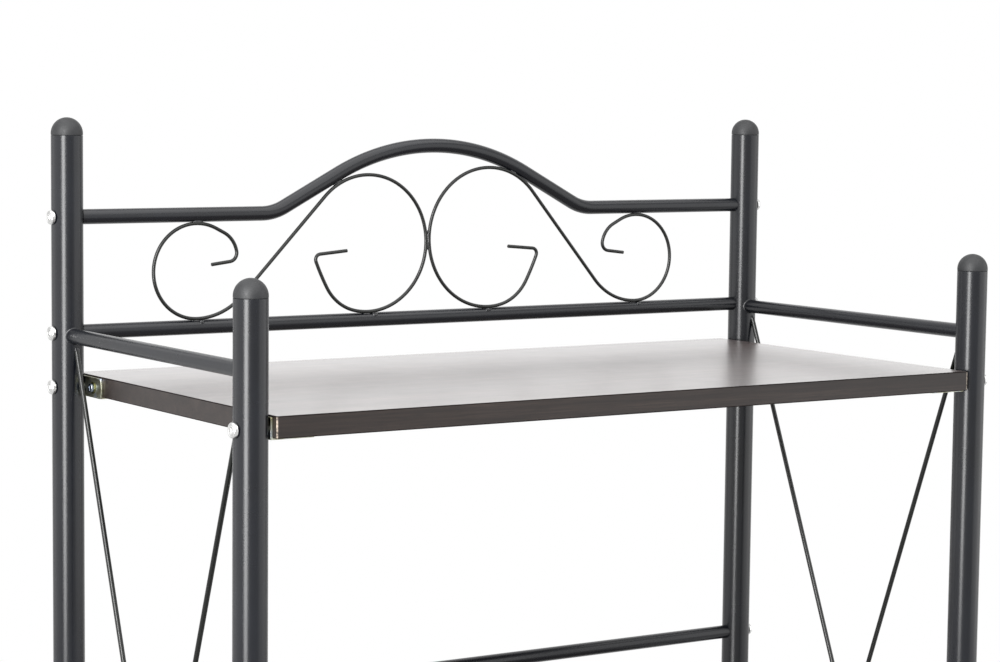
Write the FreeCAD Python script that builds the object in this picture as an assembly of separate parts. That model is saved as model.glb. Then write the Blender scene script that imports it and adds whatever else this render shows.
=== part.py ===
import FreeCAD, Part
import math
import os

from FreeCAD import Vector

# Bakers rack: two welded tube side frames, tied by bolted back rails, a
# scrollwork back panel and three board shelves.  Millimetres.  +Z is up, +X is
# to the right and -Y is the front.  The origin is on the floor, midway between
# the four posts.

# Posts
post_diameter = 25.0
post_wall = 1.2
post_spacing_x = 675.0
post_spacing_y = 305.0
rear_post_rise = 196.0          # tube end above the middle of the top shelf
front_post_drop = 106.0         # front tube ends below the rear ones

# Shelves
tier_names = ("bottom", "middle", "top")
bottom_shelf_height = 94.0      # middle of the board above the floor
shelf_pitch = 398.0
shelf_thickness = 16.0
shelf_chamfer = 0.5
bracket_axis_drop = 1.5         # bolts and end screws below the middle of the board

# Rails, and how far their axes lie above the middle of the shelf below
rail_diameter = 12.0
rail_wall = 1.0
side_rail_rise = 39.0
panel_rail_rise = 41.0
back_rail_rise = 132.0

# Arch of the top rail, on the tube's axis
arch_half_span = 165.0          # from the centre to where the first bend starts
arch_rise = 55.0
arch_bend_radius = 45.0
arch_slope = math.radians(27.7) # of the straight flanks between bends and crown

# Scrolls
scroll_rod_diameter = 3.0
scroll_forward = 3.0            # the rods are tacked in front of the rails' axes
scroll_shift = 6.8              # the scrolls meet this far to the left of the rack's middle
small_loop_offset = 219.0       # from where the scrolls meet to the small loop's centre
sweep_in_radius = 58.0          # from the long straight run into the small loop
large_curl_start_turn = 12.0
large_curl_radius = 41.0
large_curl_turn = 49.0
large_flat_radius = 198.0
large_flat_turn = 7.0
large_hook_radius = 4.5
large_hook_turn = 107.0
large_tail = 26.0
small_curl_start_turn = 27.0
small_curl_run = 8.0
small_curl_radius = 22.0
small_curl_turn = 52.0
small_hook_radius = 7.0
small_hook_turn = 94.0
small_tail = 17.0

# V braces of the side frames
brace_diameter = 4.0
brace_top_drop = 11.0           # from the side rail's axis down to the rod's end on the post
brace_shift = {"left": 2.0, "right": -1.0}      # along X, from the posts' axes to the rods'
brace_crossing = {"left": 0.0, "right": 20.0}   # how far the rear rod's foot passes the front one

# Gaps left for welds and between pieces that are bolted together
weld_gap = 0.1
rail_fit = 0.3
bracket_fit = 0.3
plug_fit = 0.1
thread_fit = 0.05

# M6 button-head bolts
bolt_diameter = 6.0
bolt_hole_gap = 0.3
bolt_reach = 15.0               # beyond the post's inner face
bolt_head_diameter = 10.5
bolt_head_height = 3.3
bolt_head_rim = 0.7
bolt_key_width = 4.0
bolt_key_depth = 2.0
bolt_end_gap = 2.0              # left beyond the bolt's end in the shelf
insert_length = 20.0
insert_recess = 0.5

# Corner brackets, pressed from sheet
bracket_thickness = 1.2
bracket_outer_reach = 7.2       # from the post's axis outwards, along Y
bracket_inner_reach = 33.0      # from the post's axis inwards, along Y
bracket_flange = 35.0           # under the shelf, along X
bracket_top_margin = 1.2
bracket_end_bulge = 2.5
bracket_rim = 1.6
bracket_boss_wall = 1.2
bracket_boss_length = 4.0
bracket_boss_gap = 0.4

# Wood screws and washers of the brackets
screw_diameter = 3.5
screw_fit = 0.05
screw_hole_gap = 0.4
screw_head_diameter = 7.0
screw_head_height = 2.2
screw_head_chamfer = 1.0
end_screw_length = 16.0
base_screw_length = 12.0
end_screw_inset = 19.0          # from the post's axis, along Y
base_screw_inset = 14.0         # from the post's axis, along Y
base_screw_reach = 20.0         # from the shelf's end, along X
washer_diameter = 9.5
washer_thickness = 0.8

# Post caps
cap_rim = 1.5
cap_wall = 2.0
cap_spigot = 12.0
cap_crown = 4.0                 # solid above the rim, over the hollow spigot

# Levelling feet
pad_diameter = 24.0
pad_top_diameter = 17.0
pad_height = 8.0
pad_edge = 2.5
pad_floor = 3.0
collar_width = 13.0
collar_height = 4.0
stud_diameter = 8.0
stud_length = 30.0              # above the collar
stud_fit = 0.1
foot_seat_gap = 0.3
socket_flange = 2.0
socket_length = 22.0

post_radius = post_diameter / 2
rail_radius = rail_diameter / 2
rod_radius = scroll_rod_diameter / 2
bolt_radius = bolt_diameter / 2
post_x = post_spacing_x / 2
post_y = post_spacing_y / 2
post_base = pad_height + collar_height + foot_seat_gap + socket_flange
inner_face_x = post_x - post_radius
outer_face_x = post_x + post_radius
shelf_end_x = inner_face_x - bracket_fit - bracket_thickness
shelf_half_depth = post_y + post_radius

shelf_heights = {}
for tier, tier_name in enumerate(tier_names):
    shelf_heights[tier_name] = bottom_shelf_height + tier * shelf_pitch
top_shelf_height = shelf_heights[tier_names[-1]]
panel_rail_height = top_shelf_height + panel_rail_rise

x_axis = Vector(1, 0, 0)
y_axis = Vector(0, 1, 0)
z_axis = Vector(0, 0, 1)
origin = Vector(0, 0, 0)
sides = {"left": -1, "right": 1}
rows = {"front": -1, "rear": 1}


def rod(radius, start, end):
    """Solid round bar between two points."""
    along = end - start
    return Part.makeCylinder(radius, along.Length, start, along)


def tube(radius, wall, start, end):
    """Round tube between two points."""
    return rod(radius, start, end).cut(rod(radius - wall, start, end))


def turned(outline):
    """Solid turned about Z from a closed outline of edges in the XZ plane."""
    return Part.Face(Part.Wire(outline)).revolve(origin, z_axis, 360)


def lines(points):
    """Edges through points given as (radius, height)."""
    corners = [Vector(radius, 0, height) for radius, height in points]
    return [Part.makeLine(start, end) for start, end in zip(corners, corners[1:])]


def dome(radius, low, high):
    """Arc in the XZ plane, centred on Z, from a rim up to its top."""
    sphere = (radius ** 2 + (high - low) ** 2) / (2 * (high - low))
    half = math.asin(radius / sphere) / 2
    middle = Vector(sphere * math.sin(half), 0, high - sphere * (1 - math.cos(half)))
    return Part.Arc(Vector(radius, 0, low), middle, Vector(0, 0, high)).toShape()


def pointing(shape, direction, place):
    """Copy of a shape made along +Z, turned to a direction and moved to a place."""
    turn = FreeCAD.Rotation(z_axis, direction)
    moved = shape.copy()
    moved.Placement = FreeCAD.Placement(place, turn)
    return moved


def post_keys():
    """Name, X side and Y side of each post."""
    return [(f"{row}_{side}", sides[side], rows[row]) for row in rows for side in sides]


def post_core(x_side, y_side, gap):
    """Solid cylinder over the whole height of a post, wider than it by a gap."""
    top = top_shelf_height + rear_post_rise
    place = Vector(x_side * post_x, y_side * post_y, 0)
    return Part.makeCylinder(post_radius + gap, top, place)


def post_top(y_side):
    rear_top = top_shelf_height + rear_post_rise
    return rear_top if y_side > 0 else rear_top - front_post_drop


def back_rail_heights():
    """Height of the axis of each bolted back rail, by node name."""
    heights = {"scroll_panel_rail": panel_rail_height}
    for name in tier_names[:-1]:
        heights[f"back_rail_{name}"] = shelf_heights[name] + back_rail_rise
    heights["arched_top_rail"] = top_shelf_height + back_rail_rise
    return heights


def shelf_bolt_heights():
    return [height - bracket_axis_drop for height in shelf_heights.values()]


def bolt_heights(y_side):
    """Heights of the bolts in a post: one at each shelf and, behind, at each back rail."""
    heights = shelf_bolt_heights()
    if y_side > 0:
        heights += list(back_rail_heights().values())
    return heights


def make_post(x_side, y_side):
    foot = Vector(x_side * post_x, y_side * post_y, post_base)
    head = Vector(foot.x, foot.y, post_top(y_side))
    post = tube(post_radius, post_wall, foot, head)
    for height in bolt_heights(y_side):
        start = Vector(foot.x - post_diameter, foot.y, height)
        end = Vector(foot.x + post_diameter, foot.y, height)
        post = post.cut(rod(bolt_radius + bolt_hole_gap, start, end))
    return post


def side_rail_core(x_side, height, gap):
    """Solid cylinder over the whole length of a side rail, wider than it by a gap."""
    front = Vector(x_side * post_x, -post_y, height)
    rear = Vector(x_side * post_x, post_y, height)
    return rod(rail_radius + gap, front, rear)


def make_side_rail(x_side, height):
    """Tube between a front and a rear post, its ends coped round them."""
    front = Vector(x_side * post_x, -post_y, height)
    rear = Vector(x_side * post_x, post_y, height)
    rail = tube(rail_radius, rail_wall, front, rear)
    for y_side in rows.values():
        rail = rail.cut(post_core(x_side, y_side, weld_gap))
    return rail


def brace_offset(side, y_side):
    """How far along X a brace rod lies from the posts' axes; rods that cross lie side by side."""
    crosses = y_side > 0 and brace_crossing[side] > 0
    aside = brace_diameter + weld_gap if crosses else 0
    return brace_shift[side] + sides[side] * aside


def make_brace_rod(side, y_side, side_rail_height):
    """Rod from below a side rail's end, on the post, down to the next rail near its middle."""
    brace_radius = brace_diameter / 2
    next_rail_height = side_rail_height - shelf_pitch
    high = side_rail_height - brace_top_drop
    low = next_rail_height + rail_radius - brace_radius
    face_y = post_y - post_radius
    lean = math.atan2(face_y, high - low)
    foot_y = y_side * (brace_radius / math.cos(lean) + weld_gap)
    if y_side > 0:
        foot_y -= brace_crossing[side]
    rod_x = sides[side] * post_x + brace_offset(side, y_side)
    start = Vector(rod_x, foot_y, low)
    end = Vector(rod_x, y_side * face_y, high)
    overrun = (end - start).normalize() * brace_diameter
    brace = rod(brace_radius, start - overrun, end + overrun)
    around = [side_rail_core(sides[side], height, weld_gap)
              for height in (next_rail_height, side_rail_height)]
    return brace.cut(around + [post_core(sides[side], y_side, weld_gap)])


def bent_bar(radius, point, heading, steps):
    """Round bar of straight runs (length) and bends (radius, turn) in a plane of constant Y."""
    pieces = []
    for step in steps:
        along = Vector(math.cos(heading), 0, math.sin(heading))
        section = Part.Face(Part.Wire(Part.makeCircle(radius, point, along)))
        if len(step) == 1:
            travel = along * step[0]
            pieces.append(section.extrude(travel))
            point = point + travel
            continue
        bend_radius, turn = step
        swing = math.copysign(1, turn)
        centre = point + Vector(-along.z, 0, along.x) * swing * bend_radius
        pieces.append(section.revolve(centre, y_axis * -swing, math.degrees(abs(turn))))
        point = centre + FreeCAD.Rotation(y_axis, -math.degrees(turn)).multVec(point - centre)
        heading += turn
    return pieces[0].fuse(pieces[1:])


def arch_flank():
    """Length of the arch's straight flank, and the radius of the crown that it meets."""
    run = arch_half_span - arch_bend_radius * math.sin(arch_slope)
    drop = 1 - math.cos(arch_slope)
    rise = arch_rise - arch_bend_radius * drop
    flank = (rise * math.sin(arch_slope) - run * drop) / drop
    crown_radius = (run * math.sin(arch_slope) - rise * math.cos(arch_slope)) / drop
    return flank, crown_radius


def arch_steps():
    """The arched rail: straight ends, two small bends, straight flanks and a wide crown."""
    flank, crown_radius = arch_flank()
    end_run = post_x - arch_half_span
    rise = [(end_run,), (arch_bend_radius, arch_slope), (flank,)]
    return rise + [(crown_radius, -2 * arch_slope)] + rise[::-1]


def coped(rail):
    """Back rail with both ends cut to fit against the rear posts."""
    return rail.cut([post_core(x_side, 1, rail_fit) for x_side in sides.values()])


def make_arched_rail(height):
    start = Vector(-post_x, post_y, height)
    outer = bent_bar(rail_radius, start, 0, arch_steps())
    inner = bent_bar(rail_radius - rail_wall, start, 0, arch_steps())
    return coped(outer.cut(inner))


def make_back_rail(height):
    left = Vector(-post_x, post_y, height)
    right = Vector(post_x, post_y, height)
    return coped(tube(rail_radius, rail_wall, left, right))


def insert_wall():
    return rail_radius - rail_wall - bolt_radius - 2 * thread_fit


def make_rail_insert(x_side, height):
    """Threaded plug in the end of a back rail, for the bolt through the post."""
    outside = inner_face_x - rail_fit - insert_recess
    start = Vector(x_side * outside, post_y, height)
    end = Vector(x_side * (outside - insert_length), post_y, height)
    return tube(rail_radius - rail_wall - thread_fit, insert_wall(), start, end)


def scroll_seat():
    """Height between the axes of a rail and of a scroll rod tacked on its front quarter."""
    return math.sqrt((rail_radius + rod_radius + weld_gap) ** 2 - scroll_forward ** 2)


def scroll_inset(x_side):
    """Distance outwards from the rack's middle to the scroll rod's axis where the scrolls meet."""
    return rod_radius + weld_gap / 2 - x_side * scroll_shift


def large_loop_radius(x_side):
    """Radius at which the large loop touches the panel rail, the arch and the other scroll."""
    seat = scroll_seat()
    inset = scroll_inset(x_side)
    _, crown_radius = arch_flank()
    crown_height = back_rail_rise - panel_rail_rise + arch_rise - crown_radius
    reach = crown_radius - seat
    low = seat - crown_height
    half_b = inset + low + reach
    c = inset ** 2 + low ** 2 - reach ** 2
    return math.sqrt(half_b ** 2 - c) - half_b


def make_scroll(x_side):
    """A large and a small loop, joined by a straight run, with hooked ends."""
    seat = scroll_seat()
    low = panel_rail_height + seat
    large = large_loop_radius(x_side)
    small = (back_rail_rise - panel_rail_rise - 2 * seat) / 2
    across = small_loop_offset - large - rod_radius - weld_gap / 2
    between = math.hypot(across, large - sweep_in_radius)
    tilt = math.atan2(large - sweep_in_radius, across)
    slope = math.asin((large + sweep_in_radius) / between) + tilt
    straight = math.sqrt(between ** 2 - (large + sweep_in_radius) ** 2)
    start = Vector(-large - scroll_inset(x_side), post_y - scroll_forward, low)
    outward = [(large, math.pi + slope), (straight,), (sweep_in_radius, -slope),
               (small, -math.pi - math.radians(small_curl_start_turn)), (small_curl_run,),
               (small_curl_radius, -math.radians(small_curl_turn)),
               (small_hook_radius, -math.radians(small_hook_turn)), (small_tail,)]
    inward = [(large, -math.radians(large_curl_start_turn)),
              (large_curl_radius, -math.radians(large_curl_turn)),
              (large_flat_radius, -math.radians(large_flat_turn)),
              (large_hook_radius, -math.radians(large_hook_turn)), (large_tail,)]
    curl = bent_bar(rod_radius, start, math.pi, inward)
    scroll = curl.fuse(bent_bar(rod_radius, start, 0, outward))
    return scroll if x_side < 0 else scroll.mirror(origin, x_axis)


def screw_hole(radius, y, reach, x_side):
    """Hole along X, level with the bolt, from outside the shelf's end to a depth inside it."""
    outside = Vector(x_side * outer_face_x, y, -bracket_axis_drop)
    inside = Vector(x_side * (shelf_end_x - reach), y, -bracket_axis_drop)
    return rod(radius, inside, outside)


def base_screw_place(x_side, y_side):
    """Where the screw of a bracket's base leg stands, in plan."""
    return Vector(x_side * (shelf_end_x - base_screw_reach), y_side * (post_y - base_screw_inset), 0)


def make_shelf():
    """Board with chamfered edges, bored at its ends and underneath for the brackets."""
    low = Vector(-shelf_end_x, -shelf_half_depth, -shelf_thickness / 2)
    board = Part.makeBox(2 * shelf_end_x, 2 * shelf_half_depth, shelf_thickness, low)
    board = board.makeChamfer(shelf_chamfer, board.Edges)
    boss_radius = bolt_radius + thread_fit + bracket_boss_wall + bracket_boss_gap
    pilot_radius = screw_diameter / 2 + screw_fit
    bolt_depth = bolt_reach - bracket_fit - bracket_thickness + bolt_end_gap
    holes = []
    for _, x_side, y_side in post_keys():
        holes.append(screw_hole(boss_radius, y_side * post_y, bolt_depth, x_side))
        screw_y = y_side * (post_y - end_screw_inset)
        holes.append(screw_hole(pilot_radius, screw_y, end_screw_length, x_side))
        place = base_screw_place(x_side, y_side)
        top = place + z_axis * (base_screw_length - bracket_thickness - shelf_thickness / 2)
        holes.append(rod(pilot_radius, place - z_axis * shelf_thickness, top))
    return board.cut(holes)


def plate_outline(grow):
    """Face of the bracket's end leg in a plane of constant X, one long side bulged."""
    outer_y = post_y + bracket_outer_reach + grow
    inner_y = post_y - bracket_inner_reach - grow
    low = -shelf_thickness / 2 - bracket_thickness
    high = shelf_thickness / 2 - bracket_top_margin + grow
    corners = [Vector(0, inner_y, high), Vector(0, outer_y, high), Vector(0, outer_y, low),
               Vector(0, inner_y, low)]
    bulge = Vector(0, inner_y - bracket_end_bulge, (low + high) / 2)
    edges = [Part.makeLine(start, end) for start, end in zip(corners, corners[1:])]
    edges.append(Part.Arc(corners[-1], bulge, corners[0]).toShape())
    return Part.Face(Part.Wire(edges))


def rim_notch():
    """Box that takes the bracket's rim away where it would meet the post."""
    rim_top = bracket_fit - bracket_rim
    half = math.sqrt((post_radius + bracket_fit) ** 2 - (post_radius + rim_top) ** 2)
    corner = Vector(bracket_thickness, post_y - half, -post_radius)
    return Part.makeBox(2 * bracket_rim, 2 * half, post_diameter, corner)


def make_bracket():
    """Rear right bracket: end leg with a raised rim and a threaded boss, and a base leg."""
    leg = plate_outline(0).extrude(x_axis * bracket_thickness)
    rim = plate_outline(0).cut(plate_outline(-bracket_thickness))
    rim = rim.extrude(x_axis * (bracket_thickness + bracket_rim)).cut(rim_notch())
    leg = leg.fuse(rim)
    leg.translate(x_axis * shelf_end_x)
    corner = Vector(shelf_end_x + bracket_thickness - bracket_flange,
                    post_y - bracket_inner_reach, -shelf_thickness / 2 - bracket_thickness)
    base = Part.makeBox(bracket_flange, bracket_inner_reach + bracket_outer_reach,
                        bracket_thickness, corner)
    boss_radius = bolt_radius + thread_fit + bracket_boss_wall
    boss_end = Vector(shelf_end_x - bracket_boss_length, post_y, -bracket_axis_drop)
    boss = rod(boss_radius, boss_end,
               boss_end + x_axis * (bracket_boss_length + bracket_thickness))
    bracket = leg.fuse([base, boss]).removeSplitter()
    screw_gap_radius = screw_diameter / 2 + screw_hole_gap
    place = base_screw_place(1, 1)
    holes = [screw_hole(bolt_radius + thread_fit, post_y, bracket_flange, 1),
             screw_hole(screw_gap_radius, post_y - end_screw_inset, bracket_thickness, 1),
             rod(screw_gap_radius, place - z_axis * shelf_thickness, place)]
    return bracket.cut(holes)


def mirrored(shape, x_side, y_side):
    """Copy of a rear right shape for one of the four corners."""
    shape = shape.copy()
    if x_side < 0:
        shape = shape.mirror(origin, x_axis)
    if y_side < 0:
        shape = shape.mirror(origin, y_axis)
    return shape


def at_corners(shape, height):
    """Rear right shape mirrored to all four corners and raised to a height."""
    copies = [mirrored(shape, x_side, y_side) for _, x_side, y_side in post_keys()]
    for copy in copies:
        copy.translate(z_axis * height)
    return copies


def make_bolt():
    """Button-head bolt along -Z, its head standing on the origin."""
    head_radius = bolt_head_diameter / 2
    length = post_diameter + bolt_reach
    outline = lines([(0, bolt_head_height), (0, -length), (bolt_radius, -length), (bolt_radius, 0),
                     (head_radius, 0), (head_radius, bolt_head_rim)])
    bolt = turned(outline + [dome(head_radius, bolt_head_rim, bolt_head_height)])
    return bolt.cut(hexagon(bolt_key_width, bolt_head_height, bolt_head_height - bolt_key_depth))


def hexagon(width, height, base):
    """Hexagonal prism about Z; its width is across the flats."""
    radius = width / math.sqrt(3)
    angles = [math.tau * corner / 6 for corner in range(7)]
    corners = [Vector(radius * math.cos(angle), radius * math.sin(angle), base) for angle in angles]
    return Part.Face(Part.makePolygon(corners)).extrude(z_axis * height)


def make_bolts(y_sides, heights):
    """Bolts through the posts of the given rows, pointing inwards from both sides."""
    bolt = make_bolt()
    bolts = []
    for x_side in sides.values():
        for y_side in y_sides:
            for height in heights:
                place = Vector(x_side * outer_face_x, y_side * post_y, height)
                bolts.append(pointing(bolt, x_axis * x_side, place))
    return bolts


def make_screw(length):
    """Pan-head wood screw along -Z, its head standing on the origin."""
    head_radius = screw_head_diameter / 2
    shank = screw_diameter / 2
    outline = [(0, screw_head_height), (0, -length), (shank, shank - length), (shank, 0),
               (head_radius, 0), (head_radius, screw_head_height - screw_head_chamfer),
               (head_radius - screw_head_chamfer, screw_head_height), (0, screw_head_height)]
    return turned(lines(outline))


def end_screw_place(standoff):
    """Point on the axis of the rear right end screw, off the bracket's end leg."""
    outside = shelf_end_x + bracket_thickness + standoff
    return Vector(outside, post_y - end_screw_inset, -bracket_axis_drop)


def make_end_screw():
    grip = bracket_thickness + washer_thickness
    return pointing(make_screw(end_screw_length + grip), x_axis, end_screw_place(washer_thickness))


def make_end_washer():
    washer = Part.makeCylinder(washer_diameter / 2, washer_thickness)
    washer = washer.cut(Part.makeCylinder(screw_diameter / 2 + screw_fit, washer_thickness))
    return pointing(washer, x_axis, end_screw_place(0))


def make_base_screw():
    """Screw of the rear right bracket's base leg, pointing up into the shelf."""
    place = base_screw_place(1, 1) - z_axis * (shelf_thickness / 2 + bracket_thickness)
    return pointing(make_screw(base_screw_length), -z_axis, place)


def make_cap():
    """Domed cap with a hollow spigot, its rim standing on the origin."""
    spigot = post_radius - post_wall - plug_fit
    bore = spigot - cap_wall
    top = cap_rim + post_radius
    outline = lines([(0, top), (0, cap_crown), (bore, cap_crown), (bore, -cap_spigot),
                     (spigot, -cap_spigot), (spigot, 0), (post_radius, 0), (post_radius, cap_rim)])
    return turned(outline + [dome(post_radius, cap_rim, top)])


def make_foot_socket():
    """Plug in a post's lower end, threaded for the stud, with a flange below the tube."""
    spigot = post_radius - post_wall - plug_fit
    bore = stud_diameter / 2 + stud_fit
    outline = [(bore, 0), (post_radius, 0), (post_radius, socket_flange), (spigot, socket_flange),
               (spigot, socket_flange + socket_length), (bore, socket_flange + socket_length),
               (bore, 0)]
    return turned(lines(outline))


def make_foot_stud():
    """Stud with a hexagonal collar; its lower end is set in the pad."""
    collar = hexagon(collar_width, collar_height, pad_height)
    shank = Part.makeCylinder(stud_diameter / 2, pad_height - pad_floor + collar_height + stud_length,
                              Vector(0, 0, pad_floor))
    return collar.fuse(shank).removeSplitter()


def make_foot_pad():
    """Moulded pad on the floor, with a blind bore for the stud."""
    radius = pad_diameter / 2
    bore = stud_diameter / 2 + thread_fit
    outline = [(0, 0), (radius - pad_edge / 2, 0), (radius, pad_edge),
               (pad_top_diameter / 2, pad_height), (bore, pad_height),
               (bore, pad_floor - thread_fit), (0, pad_floor - thread_fit), (0, 0)]
    return turned(lines(outline))


def at_post(shape, x_side, y_side, height):
    moved = shape.copy()
    moved.translate(Vector(x_side * post_x, y_side * post_y, height))
    return moved


def side_frames():
    """Posts, side rails and V braces of both welded side frames."""
    nodes = {}
    for name, x_side, y_side in post_keys():
        nodes[f"post_{name}"] = make_post(x_side, y_side)
    for side, x_side in sides.items():
        for tier, shelf_height in shelf_heights.items():
            rail_height = shelf_height + side_rail_rise
            nodes[f"side_rail_{side}_{tier}"] = make_side_rail(x_side, rail_height)
            if tier == tier_names[0]:
                continue
            for row, y_side in rows.items():
                rod_name = f"brace_rod_{side}_{tier}_{row}"
                nodes[rod_name] = make_brace_rod(side, y_side, rail_height)
    return nodes


def back():
    """Bolted back rails with their inserts and bolts, and the scrolls."""
    nodes = {}
    inserts = []
    for name, height in back_rail_heights().items():
        arched = name == "arched_top_rail"
        nodes[name] = make_arched_rail(height) if arched else make_back_rail(height)
        inserts += [make_rail_insert(x_side, height) for x_side in sides.values()]
    for side, x_side in sides.items():
        nodes[f"scroll_{side}"] = make_scroll(x_side)
    nodes["rail_inserts"] = Part.makeCompound(inserts)
    nodes["rail_bolts"] = Part.makeCompound(make_bolts([1], back_rail_heights().values()))
    return nodes


def shelves():
    """Shelves, their corner brackets and what fastens them."""
    nodes = {}
    shelf = make_shelf()
    bracket = make_bracket()
    end_screws = []
    end_washers = []
    base_screws = []
    for tier, height in shelf_heights.items():
        board = shelf.copy()
        board.translate(z_axis * height)
        nodes[f"shelf_{tier}"] = board
        nodes[f"shelf_brackets_{tier}"] = Part.makeCompound(at_corners(bracket, height))
        end_screws += at_corners(make_end_screw(), height)
        end_washers += at_corners(make_end_washer(), height)
        base_screws += at_corners(make_base_screw(), height)
    nodes["bracket_end_screws"] = Part.makeCompound(end_screws)
    nodes["bracket_end_washers"] = Part.makeCompound(end_washers)
    nodes["bracket_base_screws"] = Part.makeCompound(base_screws)
    nodes["shelf_bolts"] = Part.makeCompound(make_bolts(rows.values(), shelf_bolt_heights()))
    return nodes


def post_ends():
    """Caps, and the sockets, studs and pads of the levelling feet."""
    nodes = {}
    cap = make_cap()
    socket = make_foot_socket()
    stud = make_foot_stud()
    pad = make_foot_pad()
    caps = []
    sockets = []
    for name, x_side, y_side in post_keys():
        caps.append(at_post(cap, x_side, y_side, post_top(y_side)))
        sockets.append(at_post(socket, x_side, y_side, post_base - socket_flange))
        nodes[f"foot_stud_{name}"] = at_post(stud, x_side, y_side, 0)
        nodes[f"foot_pad_{name}"] = at_post(pad, x_side, y_side, 0)
    nodes["post_caps"] = Part.makeCompound(caps)
    nodes["foot_sockets"] = Part.makeCompound(sockets)
    return nodes


os.makedirs("parts", exist_ok=True)
nodes = {}
for group in (side_frames, back, shelves, post_ends):
    nodes.update(group())
for name, shape in nodes.items():
    shape.exportStep(f"parts/{name}.step")
print(len(nodes), "nodes")
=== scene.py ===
import math

import bmesh
import bpy
import numpy as np
from mathutils import Matrix, Vector


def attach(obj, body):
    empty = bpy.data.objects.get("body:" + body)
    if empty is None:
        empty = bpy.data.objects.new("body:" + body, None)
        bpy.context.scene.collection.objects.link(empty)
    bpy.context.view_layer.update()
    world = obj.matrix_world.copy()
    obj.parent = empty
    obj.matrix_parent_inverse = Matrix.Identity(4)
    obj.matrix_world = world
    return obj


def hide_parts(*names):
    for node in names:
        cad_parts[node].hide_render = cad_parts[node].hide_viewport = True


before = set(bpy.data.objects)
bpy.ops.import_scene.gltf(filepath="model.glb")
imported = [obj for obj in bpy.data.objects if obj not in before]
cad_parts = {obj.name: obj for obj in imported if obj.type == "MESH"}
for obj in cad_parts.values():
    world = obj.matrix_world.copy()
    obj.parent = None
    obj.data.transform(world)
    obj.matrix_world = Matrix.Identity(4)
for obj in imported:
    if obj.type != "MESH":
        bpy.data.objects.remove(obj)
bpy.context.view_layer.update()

turn = 2 * math.pi
mm = 0.001  # the dictionaries are in millimetres, the meshes in metres
print("frame loaded:", len(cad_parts), "nodes")

# Bakers rack: sizes that several pieces share
rack = {
    "postX": 337.5, "postY": 152.5, "postRadius": 12.5,
    "railRadius": 6.0, "railWall": 1.0,
    "boards": {"bottom": 94.0, "middle": 492.0, "top": 890.0},  # middle of each board
    "sideRailRise": 39.0, "boltDrop": 1.5,
    "backRails": {"back_rail_bottom": 226.0, "back_rail_middle": 624.0, "scroll_panel_rail": 931.0},
    "archRail": 1022.0, "boardEndX": 323.5,
}
postX, postY, postRadius = rack["postX"], rack["postY"], rack["postRadius"]
railRadius, boardEndX = rack["railRadius"], rack["boardEndX"]
corners = [(x, y) for y in (-1, 1) for x in (-1, 1)]
sideNames = {-1: "left", 1: "right"}
rowNames = {-1: "front", 1: "rear"}


# sRGB hex to linear: c / 12.92 below 0.04045, else ((c + 0.055) / 1.055) ** 2.4.
def linear(colour):
    channels = [int(colour[i:i + 2], 16) / 255 for i in (1, 3, 5)]
    return [c / 12.92 if c <= 0.04045 else ((c + 0.055) / 1.055) ** 2.4 for c in channels] + [1.0]


def addNode(tree, kind, settings=None, links=None):
    node = tree.nodes.new("ShaderNode" + kind)
    for key, value in (settings or {}).items():
        if key == "stops":  # colour ramp as (position, hex)
            ends = node.color_ramp.elements
            ends[0].position, ends[0].color = value[0][0], linear(value[0][1])
            ends[1].position, ends[1].color = value[-1][0], linear(value[-1][1])
            for place, colour in value[1:-1]:
                ends.new(place).color = linear(colour)
        elif isinstance(key, int) or key in node.inputs:
            isColour = isinstance(value, str) and value.startswith("#")
            node.inputs[key].default_value = linear(value) if isColour else value
        else:
            setattr(node, key, value)
    for key, source in (links or {}).items():
        tree.links.new(source, node.inputs[key])
    return node


def makeMaterial(name, paint, values):
    material = bpy.data.materials.new(name)
    material.use_nodes = True
    tree = material.node_tree
    tree.nodes.clear()
    shader = paint(tree, values)
    addNode(tree, "OutputMaterial", links={"Surface": shader.outputs[0]})
    return material


# Noise of a real size in millimetres, mapped to run from low to high.
def speckle(tree, where, size, low, high, detail=2.0, stretch=(1, 1, 1)):
    grid = addNode(tree, "Mapping", {"Scale": stretch}, {"Vector": where})
    noise = addNode(tree, "TexNoise", {"Scale": 1 / (size * mm), "Detail": detail},
                    {"Vector": grid.outputs[0]})
    span = addNode(tree, "MapRange", {1: 0.3, 2: 0.7, 3: low, 4: high}, {0: noise.outputs[0]})
    return span.outputs[0]


# Powder coat or moulded plastic: a nearly black skin with a soft gloss, raised by a fine relief,
# which is orange peel on the coat and spark-eroded grain on the plastic.
def filmPaint(tree, v):
    where = addNode(tree, "TexCoord").outputs["Object"]
    cloud = speckle(tree, where, v["cloudSize"], 0.0, 1.0)
    colour = addNode(tree, "Mix", {"data_type": "RGBA", 6: v["dark"], 7: v["pale"]}, {0: cloud})
    gloss = speckle(tree, where, v["glossSize"], v["rough"][0], v["rough"][1])
    relief = speckle(tree, where, v["reliefSize"], 0.0, 1.0, v["reliefDetail"])
    bump = addNode(tree, "Bump", {"Strength": v["reliefStrength"], "Distance": v["reliefDepth"] * mm},
                   {"Height": relief})
    return addNode(tree, "BsdfPrincipled", {"IOR": v["ior"]},
                   {"Base Color": colour.outputs[2], "Roughness": gloss, "Normal": bump.outputs[0]})


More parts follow.
